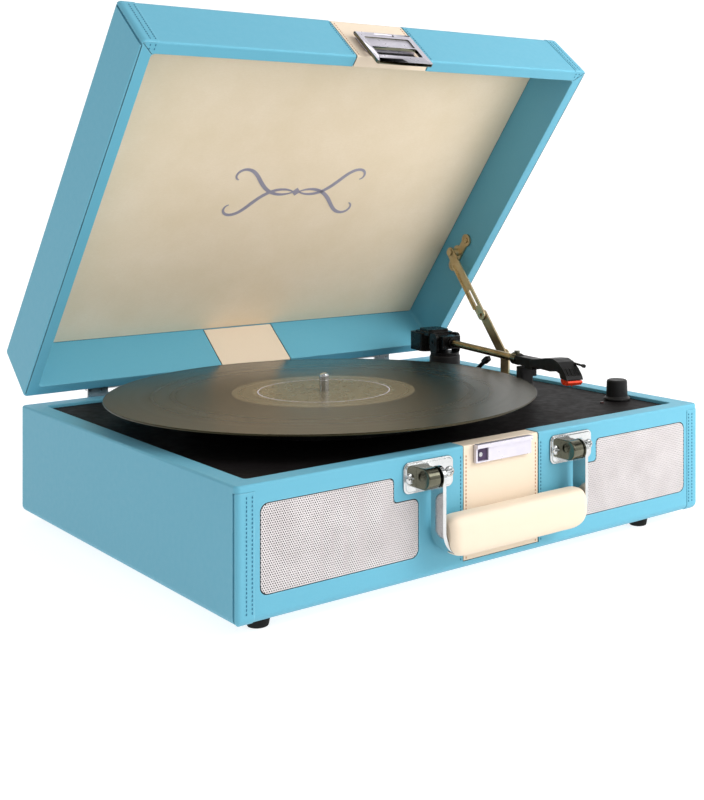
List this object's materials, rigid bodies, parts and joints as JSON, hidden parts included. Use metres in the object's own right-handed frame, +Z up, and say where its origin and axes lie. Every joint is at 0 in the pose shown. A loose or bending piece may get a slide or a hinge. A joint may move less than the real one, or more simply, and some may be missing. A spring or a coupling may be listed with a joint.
{
  "type": "suitcase record player",
  "caption": "Portable record player in a leatherette suitcase with hinged lid, belt-driven turntable, tonearm, front speakers and folding carry handle.",
  "frame": {"origin": "centre of the case's flat underside, on the bottom cover; the feet stand 6.5 mm below it", "axes": "+X to the right seen from the front, +Y from the front (handle and speakers) to the hinges, +Z up"},
  "size_m": [0.384, 0.3648, 0.3616],
  "materials": {
    "blue_leatherette": "grained leatherette, satin",
    "cream_leatherette": "grained leatherette, satin",
    "lining": "matte lining paper cloth",
    "chrome": "polished",
    "steel": "brushed",
    "brass": "aged, satin",
    "grille": "perforated, satin",
    "black_plastic": "fine texture",
    "grey_plastic": "satin",
    "black_rubber": "matte",
    "speaker_cone": "paper cone on steel frame",
    "vinyl": "grooved gloss",
    "red_plastic": "gloss",
    "board": "solder mask"
  },
  "bodies": {
    "case": {"base_case": "blue_leatherette", "front_band": "cream_leatherette", "rear_band": "cream_leatherette", "bottom_cover": "black_plastic", "deck_plate": "black_plastic", "latch_catch": "chrome", "circuit_board": "board", "jack_panel": "black_plastic", "volume_control": "steel", "power_led": "red_plastic", "motor": "steel", "drive_belt": "black_rubber", "platter_bearing": "brass", "arm_pedestal": "grey_plastic", "stay_deck_bracket": "brass", "foot_front_left": "black_rubber", "foot_front_right": "black_rubber", "foot_rear_left": "black_rubber", "foot_rear_right": "black_rubber", "speaker_grille_left": "grille", "speaker_grille_right": "grille", "speaker_left": "speaker_cone", "speaker_right": "speaker_cone", "handle_bracket_left": "chrome", "handle_bracket_right": "chrome", "bracket_screw_left_a": "chrome", "bracket_screw_left_b": "chrome", "bracket_screw_right_a": "chrome", "bracket_screw_right_b": "chrome", "hinge_base_leaf_left": "chrome", "hinge_base_leaf_right": "chrome", "hinge_pin_left": "steel", "hinge_pin_right": "steel", "arm_rest_post": "grey_plastic", "cue_bracket": "grey_plastic"},
    "turntable": {"platter": "black_plastic", "slipmat": "black_rubber", "vinyl_record": "vinyl", "spindle": "chrome"},
    "pulley": {"motor_pulley": "brass"},
    "knob": {"volume_knob": "grey_plastic"},
    "handle": {"handle_strap": "chrome", "handle_grip": "cream_leatherette"},
    "lid": {"lid_shell": "blue_leatherette", "lid_lining": "lining", "lid_band": "cream_leatherette", "latch_mount": "chrome", "hinge_lid_leaf_left": "chrome", "hinge_lid_leaf_right": "chrome", "stay_lid_bracket": "brass"},
    "hasp": {"latch_hasp": "chrome"},
    "stay_upper": {"stay_upper_arm": "brass"},
    "stay_lower": {"stay_lower_arm": "brass"},
    "arm_swivel": {"arm_yoke": "black_plastic"},
    "tonearm": {"arm_block": "black_plastic", "arm_tube": "brass", "headshell": "black_plastic", "cartridge": "black_plastic", "stylus": "red_plastic"},
    "cue": {"cue_lever": "black_plastic"}
  },
  "joints": [
    {"name": "lid_hinge", "type": "hinge", "parent": "case", "child": "lid", "pos_m": [0, 0.16, 0.0842], "axis": [-1, 0, 0], "range_deg": [-43.5, 0]},
    {"name": "stay_lower_pivot", "type": "hinge", "parent": "case", "child": "stay_lower", "pos_m": [0.1752, 0.04, 0.092], "axis": [1, 0, 0], "range_deg": [0, 140]},
    {"name": "stay_upper_pivot", "type": "hinge", "parent": "lid", "child": "stay_upper", "pos_m": [0.1732, 0.108, 0.1755], "axis": [-1, 0, 0], "range_deg": [0, 70]},
    {"name": "hasp_pivot", "type": "hinge", "parent": "lid", "child": "hasp", "pos_m": [0, -0.02663, 0.34502], "axis": [-1, 0, 0], "range_deg": [0, 100]},
    {"name": "handle_swing", "type": "hinge", "parent": "case", "child": "handle", "pos_m": [0, -0.1655, 0.0635], "axis": [-1, 0, 0], "range_deg": [0, 100]},
    {"name": "platter_spin", "type": "hinge", "parent": "case", "child": "turntable", "pos_m": [-0.0375, -0.0084, 0.0925], "axis": [0, 0, -1], "continuous": true},
    {"name": "pulley_spin", "type": "hinge", "parent": "case", "child": "pulley", "pos_m": [-0.09548, 0.04958, 0.082], "axis": [0, 0, -1], "continuous": true},
    {"name": "arm_swing", "type": "hinge", "parent": "case", "child": "arm_swivel", "pos_m": [0.1455, 0.082, 0.102], "axis": [0, 0, -1], "range_deg": [0, 34]},
    {"name": "arm_lift", "type": "hinge", "parent": "arm_swivel", "child": "tonearm", "pos_m": [0.1455, 0.082, 0.102], "axis": [-0.9848, 0.1736, 0], "range_deg": [0, 4]},
    {"name": "cue_lever_pivot", "type": "hinge", "parent": "case", "child": "cue", "pos_m": [0.13786, 0.03867, 0.079], "axis": [0.9848, -0.1736, 0], "range_deg": [0, 26]},
    {"name": "volume_turn", "type": "hinge", "parent": "case", "child": "knob", "pos_m": [0.1667, -0.0992, 0.082], "axis": [0, 0, -1], "range_deg": [0, 300]}
  ],
  "couplings": [
    {"joint": "stay_lower_pivot", "follows": "lid_hinge", "ratio": -3.186},
    {"joint": "stay_upper_pivot", "follows": "lid_hinge", "ratio": -1.5685},
    {"joint": "pulley_spin", "follows": "platter_spin", "ratio": 10.333}
  ]
}
